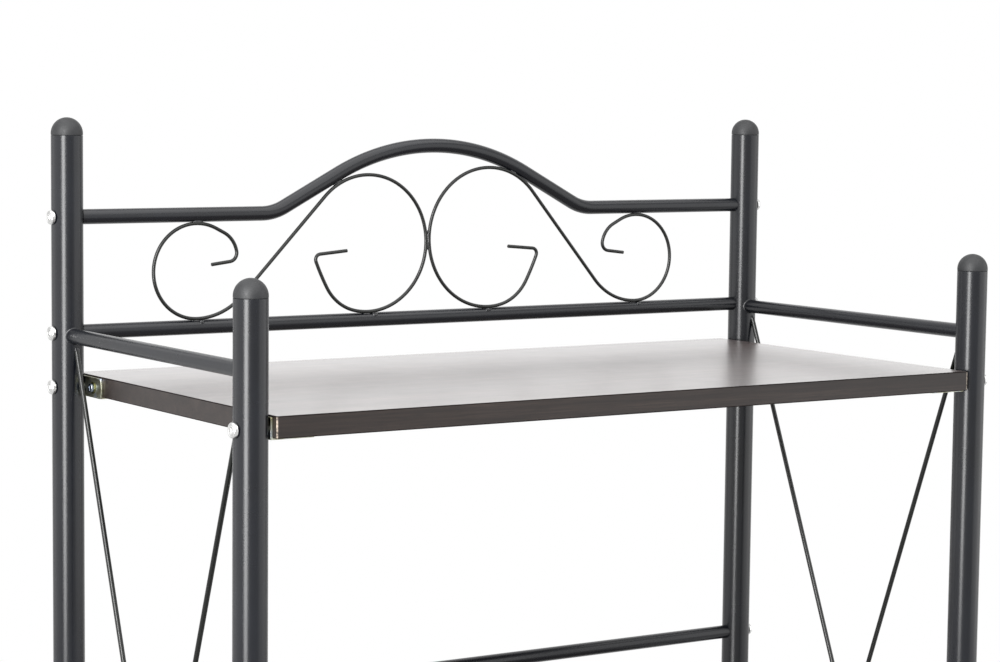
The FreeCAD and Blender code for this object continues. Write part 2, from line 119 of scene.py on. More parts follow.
# Electroplate: metal with drawn-out stains of passivation and fine barrel marks.
def platePaint(tree, v):
    where = addNode(tree, "TexCoord").outputs["Object"]
    cloud = speckle(tree, where, v["stainSize"], 0.0, 1.0, detail=4.0)
    colour = addNode(tree, "ValToRGB", {"stops": v["stops"]}, {0: cloud})
    gloss = speckle(tree, where, v["glossSize"], v["rough"][0], v["rough"][1])
    marks = speckle(tree, where, v["markSize"], 0.0, 1.0, detail=4.0)
    bump = addNode(tree, "Bump", {"Strength": v["markStrength"], "Distance": v["markDepth"] * mm},
                   {"Height": marks})
    return addNode(tree, "BsdfPrincipled", {"Metallic": 1.0},
                   {"Base Color": colour.outputs[0], "Roughness": gloss, "Normal": bump.outputs[0]})


# Wenge foil: long dark pores and lighter bands along X, a satin lacquer, and a painted highlight: pale colour
# along the four upright corner edges.
def boardPaint(tree, v):
    where = addNode(tree, "TexCoord").outputs["Object"]
    bands = speckle(tree, where, v["bandWidth"], 0.0, 1.0, 3.0, (1 / v["stretch"], 1, 1))
    fibres = speckle(tree, where, v["fibreWidth"], 0.0, 1.0, 3.0, (1 / v["stretch"], 1, 1))
    pores = speckle(tree, where, v["poreWidth"], 0.0, 1.0, 1.0, (1 / v["poreStretch"], 1, 1))
    mixed = addNode(tree, "Mix", {"data_type": "FLOAT", 0: v["fibreShare"]}, {2: bands, 3: fibres})
    colour = addNode(tree, "ValToRGB", {"stops": v["stops"]}, {0: mixed.outputs[0]})
    poreCut = addNode(tree, "MapRange", {1: v["poreCut"], 2: 1.0, 3: 0.0, 4: v["poreDark"]}, {0: pores})
    dark = addNode(tree, "Mix", {"data_type": "RGBA", 7: v["pore"]},
                   {0: poreCut.outputs[0], 6: colour.outputs[0]})
    # painted highlight: the colour turns pale along the upright corner edges, broken up by noise
    cornerGlintMask = addNode(tree, "Attribute", {"attribute_name": "wear"})
    glintBreakup = speckle(tree, where, v["glintBreakupSize"], 0.1, 1.6, detail=3.0)
    paintedGlint = addNode(tree, "Math", {"operation": "MULTIPLY", "use_clamp": True},
                   {0: cornerGlintMask.outputs["Fac"], 1: glintBreakup})
    glinted = addNode(tree, "Mix", {"data_type": "RGBA", 7: v["paintedGlint"]},
                      {0: paintedGlint.outputs[0], 6: dark.outputs[2]})
    seam = addNode(tree, "Attribute", {"attribute_name": "seam"})
    final = addNode(tree, "Mix", {"data_type": "RGBA", 7: v["pore"]},
                    {0: seam.outputs["Fac"], 6: glinted.outputs[2]})
    shine = addNode(tree, "MapRange", {3: 0.5, 4: 0.0}, {0: seam.outputs["Fac"]})
    lacquer = addNode(tree, "MapRange", {3: v["coat"], 4: 0.0}, {0: seam.outputs["Fac"]})
    bump = addNode(tree, "Bump", {"Strength": v["grainStrength"], "Distance": v["grainDepth"] * mm},
                   {"Height": fibres})
    gloss = speckle(tree, where, v["glossSize"], v["rough"][0], v["rough"][1])
    return addNode(tree, "BsdfPrincipled",
                   {"IOR": v["ior"], "Coat Roughness": v["coatRough"], "Coat IOR": v["ior"]},
                   {"Base Color": final.outputs[2], "Roughness": gloss, "Normal": bump.outputs[0],
                    "Specular IOR Level": shine.outputs[0], "Coat Weight": lacquer.outputs[0]})


wengeGrain = {
    # the pale #b9ab9c and the noise that breaks it up are the painted highlight on the upright corner edges
    "pore": "#14100f", "paintedGlint": "#b9ab9c", "stretch": 40.0, "poreStretch": 18.0,
    "bandWidth": 9.0, "fibreWidth": 1.2, "fibreShare": 0.45, "poreWidth": 0.8,
    "poreCut": 0.55, "poreDark": 0.6, "glintBreakupSize": 1.8, "grainStrength": 0.03, "grainDepth": 0.03,
    "glossSize": 30.0, "coatRough": 0.27,
}


materials = {
    # satin black powder coat baked on steel tube: reads as dark grey with soft-edged bright bands
    "coat": makeMaterial("blackPowderCoat", filmPaint, {
        "dark": "#08090d", "pale": "#0c0e13", "cloudSize": 60.0, "ior": 1.4,
        "rough": (0.25, 0.28), "glossSize": 25.0,
        "reliefSize": 3.0, "reliefStrength": 0.003, "reliefDepth": 0.03,  # real peel is 1 mm, drawn at 3
        "reliefDetail": 3.0}),
    # the same coat over thin bent rod, a touch greener
    "rod": makeMaterial("blackRodCoat", filmPaint, {
        "dark": "#030403", "pale": "#070a07", "cloudSize": 40.0, "ior": 1.42,
        "rough": (0.22, 0.30), "glossSize": 12.0,
        "reliefSize": 1.6, "reliefStrength": 0.05, "reliefDepth": 0.03, "reliefDetail": 3.0}),
    # coat over a weld bead: thicker, lumpier and glossier
    "weld": makeMaterial("coatedWeld", filmPaint, {
        "dark": "#0a0b0c", "pale": "#15161a", "cloudSize": 3.0, "ior": 1.5,
        "rough": (0.18, 0.32), "glossSize": 2.0,
        "reliefSize": 0.8, "reliefStrength": 0.35, "reliefDepth": 0.08, "reliefDetail": 3.0}),
    # bright nickel plate on steel: near mirror, slightly hazy
    "nickel": makeMaterial("brightNickelPlate", platePaint, {
        "stops": [(0.0, "#c6c6c5"), (1.0, "#d2d2d1")], "stainSize": 6.0,
        "rough": (0.16, 0.20), "glossSize": 3.0,
        "markSize": 0.5, "markStrength": 0.02, "markDepth": 0.02}),
    # yellow-tinged zinc plate on pressed sheet: grey with olive and bluish clouds
    "zinc": makeMaterial("clearZincPlate", platePaint, {
        "stops": [(0.0, "#7d7a60"), (0.45, "#9c9c8a"), (0.7, "#b0b2a8"), (1.0, "#a3acb8")],
        "stainSize": 9.0, "rough": (0.34, 0.44), "glossSize": 4.0,
        "markSize": 0.8, "markStrength": 0.05, "markDepth": 0.03}),
    # yellow chromate zinc on the washers
    "washerZinc": makeMaterial("yellowZincPlate", platePaint, {
        "stops": [(0.0, "#55532f"), (0.6, "#77764f"), (1.0, "#8f9073")], "stainSize": 3.0,
        "rough": (0.24, 0.34), "glossSize": 2.0,
        "markSize": 0.5, "markStrength": 0.05, "markDepth": 0.02}),
    # bluish zinc on the screws and the levelling studs
    "screwZinc": makeMaterial("blueZincPlate", platePaint, {
        "stops": [(0.0, "#565f70"), (0.6, "#7b8491"), (1.0, "#9ba2aa")], "stainSize": 2.5,
        "rough": (0.12, 0.18), "glossSize": 1.5,
        "markSize": 0.4, "markStrength": 0.04, "markDepth": 0.02}),
    # moulded grey polyethylene caps: matt, with a broad soft sheen
    "cap": makeMaterial("greyMouldedCap", filmPaint, {
        "dark": "#101113", "pale": "#151618", "cloudSize": 8.0, "ior": 1.45,
        "rough": (0.50, 0.60), "glossSize": 3.0,
        "reliefSize": 0.5, "reliefStrength": 0.25, "reliefDepth": 0.03,  # real grain is 0.1 mm
        "reliefDetail": 2.0}),
    # moulded black polypropylene feet: matt with a fine erosion texture
    "footPlastic": makeMaterial("blackMouldedFoot", filmPaint, {
        "dark": "#101011", "pale": "#19191a", "cloudSize": 10.0, "ior": 1.49,
        "rough": (0.48, 0.60), "glossSize": 3.0,
        "reliefSize": 0.4, "reliefStrength": 0.3, "reliefDepth": 0.03, "reliefDetail": 2.0}),
    # dark wenge foil on board: fine dark grain under a satin lacquer that mirrors at a low angle
    "wenge": makeMaterial("wengeFoil", boardPaint, wengeGrain | {
        "stops": [(0.0, "#2f2624"), (0.4, "#3c3230"), (0.7, "#483c39"), (1.0, "#574a45")],
        "ior": 1.7, "rough": (0.33, 0.36), "coat": 1.0}),
    # the same grain as edge band: no lacquer, so it stays darker
    "edgeBand": makeMaterial("wengeEdgeBand", boardPaint, wengeGrain | {
        "stops": [(0.0, "#120d0b"), (0.4, "#1a1412"), (0.7, "#221b18"), (1.0, "#2c2420")],
        "ior": 1.36, "rough": (0.30, 0.38), "coat": 0.0}),
}
print("materials made:", len(materials))


# A grid of points, rows by columns. Most close round their columns, and tubes round their rows too.
def patch(points, wrapRows=False, wrapCols=True, uv=None, **masks):
    return {"points": np.asarray(points, float), "wrap": (wrapRows, wrapCols), "uv": uv, "masks": masks}


# Corner (row, column) of each quad, before a wrapped index is brought back to 0.
def gridQuads(rows, cols, wrapRows, wrapCols):
    r, c = np.meshgrid(np.arange(rows - (not wrapRows)), np.arange(cols - (not wrapCols)), indexing="ij")
    r, c = r.ravel(), c.ravel()
    return np.stack([r, r + 1, r + 1, r], 1), np.stack([c, c, c + 1, c + 1], 1)


# UV in metres: distance along the middle column and the middle row of the grid.
def gridLengths(points, wrapRows, wrapCols):
    def along(line, wraps):
        closed = np.concatenate([line, line[:1]]) if wraps else line
        return np.concatenate([[0], np.cumsum(np.linalg.norm(np.diff(closed, axis=0), axis=1))])
    down = along(points[:, points.shape[1] // 2], wrapRows)
    across = along(points[points.shape[0] // 2], wrapCols)
    return np.stack(np.meshgrid(down, across, indexing="ij"), -1) * mm


# One mesh from grids in millimetres; doubles are merged, so seams and poles close.
def buildPiece(name, patches, material, body="rack", replaces=(), sharp=40.0):
    places, quads, uvs, masks = [], [], [], {}
    offset = 0
    for p in patches:
        rows, cols = p["points"].shape[:2]
        r, c = gridQuads(rows, cols, *p["wrap"])
        quads.append(offset + (r % rows) * cols + c % cols)
        lengths = p["uv"] if p["uv"] is not None else gridLengths(p["points"], *p["wrap"])
        uvs.append(lengths[r, c].reshape(-1, 2))
        places.append(p["points"].reshape(-1, 3) * mm)
        for key in p["masks"]:
            masks.setdefault(key, np.zeros(0))
        for key in masks:
            values = p["masks"].get(key, np.zeros((rows, cols)))
            masks[key] = np.concatenate([masks[key], np.zeros(offset - len(masks[key])), values.ravel()])
        offset += rows * cols
    places, quads, uvs = np.concatenate(places), np.concatenate(quads), np.concatenate(uvs)
    mesh = bpy.data.meshes.new(name)
    mesh.vertices.add(len(places))
    mesh.vertices.foreach_set("co", places.ravel())
    mesh.loops.add(quads.size)
    mesh.loops.foreach_set("vertex_index", quads.ravel().astype(np.int32))
    mesh.polygons.add(len(quads))
    mesh.polygons.foreach_set("loop_start", np.arange(0, quads.size, 4, dtype=np.int32))
    layer = mesh.uv_layers.new(name="lengths")
    layer.data.foreach_set("uv", uvs.ravel())
    for key, values in masks.items():
        mesh.attributes.new(key, "FLOAT", "POINT").data.foreach_set("value", values)
    mesh.update(calc_edges=True)
    work = bmesh.new()
    work.from_mesh(mesh)
    bmesh.ops.remove_doubles(work, verts=work.verts, dist=2e-6)
    bmesh.ops.dissolve_degenerate(work, edges=work.edges, dist=1e-7)
    bmesh.ops.recalc_face_normals(work, faces=work.faces)
    for face in work.faces:
        face.smooth = True
    work.to_mesh(mesh)
    work.free()
    mesh.set_sharp_from_angle(angle=math.radians(sharp))
    mesh.materials.append(materials[material])
    piece = bpy.data.objects.new(name, mesh)
    bpy.context.scene.collection.objects.link(piece)
    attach(piece, body)
    if replaces:
        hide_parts(*replaces)
    return piece


# Polyline with each corner C swapped for (1-t)^2 A + 2t(1-t) C + t^2 B, and a point held
# just outside A and B so that the flats stay flat.
def rounded(points, radius, steps=4, closed=False):
    points = np.asarray(points, float)
    count = len(points)
    radii = np.broadcast_to(radius, (count,))
    t = np.linspace(0, 1, steps + 1)[:, None]
    line = [] if closed else [points[:1]]
    for i in range(count) if closed else range(1, count - 1):
        before, corner, after = points[i - 1], points[i], points[(i + 1) % count]
        back, ahead = before - corner, after - corner
        room = min(np.linalg.norm(back), np.linalg.norm(ahead)) * 0.42
        reach = min(radii[i], room)
        if reach <= 0:
            line.append(corner[None])
            continue
        back, ahead = back / np.linalg.norm(back), ahead / np.linalg.norm(ahead)
        a, b = corner + back * reach, corner + ahead * reach
        curve = (1 - t) ** 2 * a + 2 * t * (1 - t) * corner + t ** 2 * b
        line += [(a + back * reach * 0.15)[None], curve, (b + ahead * reach * 0.15)[None]]
    if not closed:
        line.append(points[-1:])
    return np.concatenate(line)


# Angles spread evenly round a circle: turn * k / count.
def circle(count):
    return np.arange(count) * turn / count


# Rings round Z: x = r cos a, y = r sin a, z = height.
def ringAt(radius, angle, height):
    return np.stack([radius * np.cos(angle), radius * np.sin(angle), height + 0 * angle], -1)


# (radius, height) profile carried round Z.
def turned(profile, segments=64):
    profile = np.asarray(profile, float)
    return ringAt(profile[:, :1], circle(segments), profile[:, 1:])


# Points made along +Z, turned so that +Z becomes the axis, and moved.
def aimed(points, axis, place=(0, 0, 0)):
    matrix = np.array(Vector((0, 0, 1)).rotation_difference(Vector(axis)).to_matrix())
    return points @ matrix.T + np.asarray(place, float)


# Smooth unevenness: a sum of sines of the angle with phases set by the seed.
def ripple(angle, seed, waves=(2, 3, 5), size=1.0):
    total = 0 * angle
    for k, wave in enumerate(waves):
        total = total + np.sin(wave * angle + seed * (k + 1.7) * 2.399) / (k + 1)
    return size * total / len(waves)


# Straight runs (length,) and bends (radius, turn). A bend is start + R(sin, -cos) of the
# heading's change; returns points (x, z) and the heading at each.
def bentPath(start, heading, steps, spacing=2.0, runSpacing=14.0):
    point = np.array(start, float)
    points, headings = [point[None]], [np.array([heading])]
    for step in steps:
        if len(step) == 1:
            t = np.linspace(0, 1, max(2, int(step[0] / runSpacing) + 2))[1:, None]
            line = point + t * step[0] * np.array([math.cos(heading), math.sin(heading)])
            angles = np.full(len(line), heading)
        else:
            radius, bend = step
            count = max(6, int(abs(bend) * radius / spacing) + 1)
            angles = heading + np.linspace(0, bend, count + 1)[1:]
            side = math.copysign(radius, bend)
            line = point + side * np.stack([np.sin(angles) - math.sin(heading),
                                            math.cos(heading) - np.cos(angles)], 1)
            heading += bend
        points.append(line)
        headings.append(angles)
        point = line[-1]
    return np.concatenate(points), np.concatenate(headings)


# Circle of each radius carried along a path at constant Y: path + r (cos a N + sin a Y).
def sweptRing(points, headings, radii, y, segments):
    angle = circle(segments)
    radii = np.broadcast_to(radii, (len(points),))[:, None]
    normal = np.stack([-np.sin(headings), np.cos(headings)], 1)
    inPlane = points[:, None] + radii[..., None] * np.cos(angle)[:, None] * normal[:, None]
    return np.stack([inPlane[..., 0], y + radii * np.sin(angle), inPlane[..., 1]], -1)


# A solid rod along a path, its ends cut square with the edge just broken.
def rodAlong(points, headings, radius, y, segments=16, ease=0.3):
    ahead = np.stack([np.cos(headings), np.sin(headings)], 1)
    startRows = np.stack([points[0] + ahead[0] * s for s in (0, 0, 0, ease * 0.3, ease)])
    endRows = np.stack([points[-1] - ahead[-1] * s for s in (ease, ease * 0.3, 0, 0, 0)])
    line = np.concatenate([startRows, points[1:-1], endRows])
    angles = np.concatenate([np.full(5, headings[0]), headings[1:-1], np.full(5, headings[-1])])
    small = np.array([0, 0.5 * radius, radius - ease, radius - ease * 0.3, radius])
    radii = np.concatenate([small, np.full(len(points) - 2, radius), small[::-1]])
    return patch(sweptRing(line, angles, radii, y, segments))


post = {"wall": 1.2, "foot": 14.3, "tops": {-1: 980.0, 1: 1086.0}, "lip": 0.25, "segments": 72}


# Tube wall: a closed (radius, height) loop carried round the post's axis.
def postPatch(x, y, top):
    outer, inner = postRadius, postRadius - post["wall"]
    loop = rounded([(inner, post["foot"]), (outer, post["foot"]), (outer, top), (inner, top)],
                   post["lip"], closed=True)
    place = np.array([x * postX, y * postY, 0])
    return patch(turned(loop, post["segments"]) + place, wrapRows=True)


for x, y in corners:
    name = f"{rowNames[y]}_{sideNames[x]}"
    wall = postPatch(x, y, post["tops"][y])
    buildPiece(f"coated_post_{name}", [wall], "coat", replaces=[f"post_{name}"])
print("posts built")


sideRail = {
    "gap": 0.1, "segments": 48, "weldLeg": 0.9, "weldHollow": 1.6, "weldUneven": 0.22,
    "weldScales": 27, "weldScaleDepth": 0.035,
    "weldRoot": [(-0.5, -0.05), (-1.2, -0.9), (-0.05, -0.5)],  # closes the fillet inside the metal
}


# How far a point stands off the post's axis along the rail: sqrt(R^2 - across^2).
def copeDepth(across, gap):
    return np.sqrt((postRadius + gap) ** 2 - across ** 2)


# Tube along Y between two posts: each line of it runs between the two coped ends.
def copedTube():
    angle = circle(sideRail["segments"])
    rows = []
    shares = np.linspace(-1, 1, 12)
    for r, line in ((railRadius, shares), (railRadius - rack["railWall"], shares[::-1])):
        end = postY - copeDepth(r * np.cos(angle), sideRail["gap"])
        rows.append(np.stack([r * np.cos(angle) + 0 * line[:, None], line[:, None] * end,
                              r * np.sin(angle) + 0 * line[:, None]], -1))
    return np.concatenate(rows)


# Fillet round a rail where it meets a post's axis at y = 0, rail along +Y: at angle a and
# step t the point is u beyond the rail's radius and v off the post, u = L(1-t)^h, v = L t^h. The
# size L varies round the rail, with fine scales of the bead, and three points close the root.
def weldRing(seed):
    angle = circle(96)
    scales = np.cos(angle * sideRail["weldScales"] + 2 * np.sin(3 * angle))
    uneven = ripple(angle, seed, size=sideRail["weldUneven"])
    size = sideRail["weldLeg"] * (1 + uneven + sideRail["weldScaleDepth"] * scales)
    t = np.linspace(0, 1, 9)[:, None]
    root = np.array(sideRail["weldRoot"])
    u = np.concatenate([size * (1 - t) ** sideRail["weldHollow"], root[:, :1] + 0 * angle])
    v = np.concatenate([size * t ** sideRail["weldHollow"], root[:, 1:] + 0 * angle])
    out = railRadius + u
    across = out * np.cos(angle)
    depth = copeDepth(across, 0.0) + v
    return np.stack([across, depth, out * np.sin(angle)], -1)


for x in (-1, 1):
    rings = []
    for k, (tier, height) in enumerate(rack["boards"].items()):
        z = height + rack["sideRailRise"]
        name = f"side_rail_{sideNames[x]}_{tier}"
        tube = copedTube() + [x * postX, 0, z]
        buildPiece(f"coated_{name}", [patch(tube, wrapRows=True)], "coat", replaces=[name])
        for y in (-1, 1):
            ring = weldRing(3 * k + x + 7 * y) * [1, -y, 1]
            rings.append(patch(ring + [x * postX, y * postY, z], wrapRows=True))
    buildPiece(f"weld_fillets_{sideNames[x]}", rings, "coat")
print("side rails built")


brace = {
    "radius": 2.0, "topDrop": 11.0, "pitch": 398.0, "gap": 0.1, "segments": 20, "sink": 0.6, "ease": 0.4,
    "topWeld": (2.3, 2.0, 2.8), "footWeld": (2.5, 3.2, 1.7), "weldLean": 0.25,
    "footWeldShift": 0.6, "footWeldLift": 0.2,
    "shift": {-1: 2.0, 1: -1.0},      # along X, from the posts' axes to the rods'
    "crossing": {-1: 0.0, 1: 20.0},   # how far the rear rod's foot passes the front one
}


lump = {"rows": 17, "segments": 28, "lobes": 0.10, "scales": 0.07}


# A lump of weld: an ellipsoid whose radius swells by a sum of sines of both angles.
def weldBlob(place, radii, seed, axis=(0, 0, 1)):
    tilt = np.linspace(0, math.pi, lump["rows"])[:, None]
    angle = circle(lump["segments"])
    swell = (1 + lump["lobes"] * np.sin(3 * angle + seed) * np.sin(tilt) ** 2
             + lump["scales"] * np.sin(7 * tilt + 2 * np.cos(angle + seed * 1.3)))
    ball = ringAt(np.sin(tilt), angle, np.cos(tilt))
    return patch(aimed(ball * swell[..., None] * np.asarray(radii), axis, place))


# Circle carried from start to end, closed with slightly domed ends.
def straightRod(start, end):
    start, end = np.array(start, float), np.array(end, float)
    length = np.linalg.norm(end - start)
    radius = brace["radius"]
    profile = rounded([(0, 0), (radius, 0), (radius, length), (0, length)], brace["ease"])
    return patch(aimed(turned(profile, brace["segments"]), end - start, start))


# Ends of a rod's axis, from the flank of the lower rail up to the post. Rods that cross lie side
# by side.
def braceEnds(x, y, railZ):
    crosses = y > 0 and brace["crossing"][x] > 0
    rodX = x * postX + brace["shift"][x] + x * crosses * (2 * brace["radius"] + brace["gap"])
    low = railZ - brace["pitch"] + railRadius - brace["radius"]
    high = railZ - brace["topDrop"]
    faceY = postY - postRadius
    lean = math.atan2(faceY, high - low)
    footY = y * (brace["radius"] / math.cos(lean) + brace["gap"]) - crosses * brace["crossing"][x]
    return (rodX, footY, low), (rodX, y * (faceY + brace["sink"]), high)


for x in (-1, 1):
    lumps = []
    for k, tier in enumerate(("middle", "top")):
        for y in (-1, 1):
            name = f"brace_rod_{sideNames[x]}_{tier}_{rowNames[y]}"
            start, end = braceEnds(x, y, rack["boards"][tier] + rack["sideRailRise"])
            buildPiece(f"coated_{name}", [straightRod(start, end)], "rod", replaces=[name])
            lumps.append(weldBlob(end, brace["topWeld"], 2.0 * k + x + y, (0, y * brace["weldLean"], 1)))
            foot = (start[0], start[1] + y * brace["footWeldShift"],
                    start[2] + brace["radius"] + brace["footWeldLift"])
            lumps.append(weldBlob(foot, brace["footWeld"], 5.0 + k + x + 2 * y))
    buildPiece(f"brace_welds_{sideNames[x]}", lumps, "weld")
print("braces built")


backRail = {"gap": 0.3, "segments": 48, "archHalf": 165.0, "archRise": 55.0, "bend": 45.0,
            "slope": math.radians(27.7)}


# Straight flank and crown radius that bring the arch from its half span to its rise.
def archFlank():
    run = backRail["archHalf"] - backRail["bend"] * math.sin(backRail["slope"])
    drop = 1 - math.cos(backRail["slope"])
    rise = backRail["archRise"] - backRail["bend"] * drop
    flank = (rise * math.sin(backRail["slope"]) - run * drop) / drop
    return flank, (run * math.sin(backRail["slope"]) - rise * math.cos(backRail["slope"])) / drop


# Hollow rail swept along a path from post to post, both ends coped round the posts.
def tubeAlong(points, headings):
    rings = []
    for r, order in ((railRadius, 1), (railRadius - rack["railWall"], -1)):
        ring = sweptRing(points, headings, r, 0.0, backRail["segments"])
        end = postX - copeDepth(ring[0, :, 1], backRail["gap"])
        ring[0, :, 0] = -end
        ring[-1, :, 0] = end
        rings.append(ring[::order])
    grid = np.concatenate(rings)
    grid[..., 1] += postY
    return patch(grid, wrapRows=True)


insideX = postX - postRadius
for name, z in rack["backRails"].items():
    points, headings = bentPath((-insideX, z), 0.0, [(2 * insideX,)], runSpacing=60.0)
    buildPiece(f"coated_{name}", [tubeAlong(points, headings)], "coat", replaces=[name])
flank, crownRadius = archFlank()
rise = [(insideX - backRail["archHalf"],), (backRail["bend"], backRail["slope"]), (flank,)]
archSteps = rise + [(crownRadius, -2 * backRail["slope"])] + rise[::-1]
points, headings = bentPath((-insideX, rack["archRail"]), 0.0, archSteps, spacing=3.0)
buildPiece("coated_arched_rail", [tubeAlong(points, headings)], "coat", replaces=["arched_top_rail"])
print("back rails built")


scroll = {
    "rodRadius": 1.5, "forward": 3.0, "touch": 0.1, "smallX": 219.0, "sweepIn": 58.0, "segments": 18,
    "shift": 6.8,  # the pair meets this far to the left of the middle
    "curl": [(None, -12.0), (41.0, -49.0), (198.0, -7.0), (4.5, -107.0)], "curlTail": 26.0,
    "hook": [(22.0, -52.0), (7.0, -94.0)], "hookStart": 27.0, "hookRun": 8.0, "hookTail": 17.0,
}


# One scroll as if on the left: two loops that touch the panel rail, the larger also the arch
# and the other scroll.
def scrollPath(x):
    panel = rack["backRails"]["scroll_panel_rail"]
    seat = math.sqrt((railRadius + scroll["rodRadius"] + scroll["touch"]) ** 2
                     - scroll["forward"] ** 2)
    meet = scroll["rodRadius"] + scroll["touch"] / 2
    inset = meet - x * scroll["shift"]
    reach = crownRadius - seat
    low = seat - (rack["archRail"] - panel + backRail["archRise"] - crownRadius)
    half = inset + low + reach
    large = math.sqrt(half ** 2 - (inset ** 2 + low ** 2 - reach ** 2)) - half
    small = (rack["archRail"] - panel - 2 * seat) / 2
    across = scroll["smallX"] - large - meet
    between = math.hypot(across, large - scroll["sweepIn"])
    slope = math.asin((large + scroll["sweepIn"]) / between) + math.atan2(large - scroll["sweepIn"], across)
    straight = math.sqrt(between ** 2 - (large + scroll["sweepIn"]) ** 2)
    start = (-large - inset, panel + seat)
    hook = [(radius, math.radians(bend)) for radius, bend in scroll["hook"]]
    outward = [(large, math.pi + slope), (straight,), (scroll["sweepIn"], -slope),
               (small, -math.pi - math.radians(scroll["hookStart"])), (scroll["hookRun"],)]
    outward += hook + [(scroll["hookTail"],)]
    inward = [(radius or large, math.radians(bend)) for radius, bend in scroll["curl"]]
    inward += [(scroll["curlTail"],)]
    ahead, aheadTurn = bentPath(start, 0.0, outward, spacing=1.6)
    back, backTurn = bentPath(start, math.pi, inward, spacing=1.6)
    path = np.concatenate([back[::-1], ahead[1:]])
    headings = np.concatenate([backTurn[::-1] - math.pi, aheadTurn[1:]])
    return path, headings, large, large + inset, seat


scrollY = postY - scroll["forward"]
for x in (-1, 1):
    path, headings, _, _, _ = scrollPath(x)
    rod = rodAlong(path, headings, scroll["rodRadius"], scrollY, scroll["segments"])
    rod["points"] = rod["points"] * [-x, 1, 1]
    buildPiece(f"scroll_rod_{sideNames[x]}", [rod], "rod", replaces=[f"scroll_{sideNames[x]}"])

# Weld lumps that hold the scrolls, by half sizes along X, Y and Z; the one on the arch has its
# length along the arch. Spots lie ahead of the rod's axis, seams behind it.
tack = {
    "smallSpot": (2.6, 1.6, 1.8), "smallSeam": (4.5, 1.8, 1.6),
    "largeSpot": (2.8, 1.6, 1.8), "largeSeam": (5.0, 1.8, 1.6),
    "topSeam": (5.0, 2.0, 1.9), "archSeam": (2.0, 2.0, 4.5), "middleSeam": (1.3, 1.6, 8.0),
    "spotAhead": 4.0, "seamAhead": 2.2,   # from the posts' axes to the front
    "spotDrop": 3.0, "seamDrop": 1.6,     # from the rod's axis towards its rail
    "spotShift": 4.0, "topShift": 1.0,    # to the right of where the small loop touches
    "largeSpotShift": 7.0,                # the same, on the left one of the large loops
    "archSink": 0.2, "middleAhead": 0.4, "middleRise": 66.0,
}
panelZ = rack["backRails"]["scroll_panel_rail"]
archCentreZ = rack["archRail"] + backRail["archRise"] - crownRadius
spotY, seamY = postY - tack["spotAhead"], postY - tack["seamAhead"]
beads = []
for x in (-1, 1):
    _, _, largeRadius, largeX, seat = scrollPath(x)
    touchAngle = math.atan2(panelZ + seat + largeRadius - archCentreZ, largeX)
    smallX = x * scroll["smallX"] - scroll["shift"]
    spotX = x * largeX + tack["largeSpotShift"] * (x < 0)
    spotZ, seamZ = panelZ + seat - tack["spotDrop"], panelZ + seat - tack["seamDrop"]
    topZ = rack["archRail"] - seat + tack["seamDrop"]
    for place, size, seed in (((smallX + tack["spotShift"], spotY, spotZ), "smallSpot", 1.0),
                              ((smallX, seamY, seamZ), "smallSeam", 7.0),
                              ((spotX, spotY, spotZ), "largeSpot", 2.0),
                              ((x * largeX, seamY, seamZ), "largeSeam", 8.0),
                              ((smallX + tack["topShift"], seamY, topZ), "topSeam", 3.0)):
        beads.append(weldBlob(place, tack[size], seed + x))
    reach = crownRadius - railRadius + tack["archSink"]
    place = (x * reach * math.cos(touchAngle), seamY, archCentreZ + reach * math.sin(touchAngle))
    beads.append(weldBlob(place, tack["archSeam"], 4.0 + x,
                          (math.sin(touchAngle) * x, 0, -math.cos(touchAngle))))
place = (-scroll["shift"], scrollY - tack["middleAhead"], panelZ + tack["middleRise"])
beads.append(weldBlob(place, tack["middleSeam"], 6.0))
buildPiece("scroll_tack_welds", beads, "weld")
print("scrolls built")


board = {"depth": 165.0, "thick": 16.0, "edge": 0.6, "lines": (24, 14, 4), "cornerGlintReach": 1.2,
         "seamReach": 0.95}


# Grid lines across a box side: a few over each rounded edge, the rest spread evenly.
def boardLines(half, edge, count):
    over = half - edge * (1 - np.tan(np.linspace(math.pi / 4, 0, 5)))
    near = half - edge * np.array([1.6, 2.4, 3.4])
    inner = half - edge * 6
    return np.concatenate([-over, -near, np.linspace(-inner, inner, count), near[::-1], over[::-1]])


# Each point of a box's side is drawn back to the inner box and pushed out by the edge
# radius along its own direction, so the edges are quarter rounds and the corners are spheres.
def roundedBox(half, edge, counts, masks):
    patches = []
    half = np.array(half, float)
    lines = [boardLines(half[i], edge, counts[i]) for i in range(3)]
    for axis in range(3):
        i, j = [k for k in range(3) if k != axis]
        a, b = np.meshgrid(lines[i], lines[j], indexing="ij")
        for side in (-1, 1):
            q = np.zeros(a.shape + (3,))
            q[..., i], q[..., j], q[..., axis] = a, b, side * half[axis]
            core = np.clip(q, -(half - edge), half - edge)
            away = q - core
            away /= np.linalg.norm(away, axis=-1, keepdims=True)
            p = core + away * edge
            patches.append(patch(p, wrapCols=False, uv=np.stack([a, b], -1) * mm, **masks(p)))
    return patches


# The painted highlight mask runs from 0 to 1 towards the four upright corner edges. The seam, a line
# of dark glue, is 1 along the edge between the band and the top or bottom foil, and falls to 0 at its reach.
def boardMasks(p):
    offX = boardEndX - np.abs(p[..., 0])
    offY = board["depth"] - np.abs(p[..., 1])
    offZ = board["thick"] / 2 - np.abs(p[..., 2])
    # painted highlight mask, 1 on the upright corner edges
    wear = np.clip(1 - (offX + offY) / board["cornerGlintReach"], 0, 1)
    reach = np.maximum(np.minimum(offX, offY), offZ)
    seam = np.clip(2 - 2 * reach / board["seamReach"], 0, 1)
    return {"wear": wear, "seam": seam}


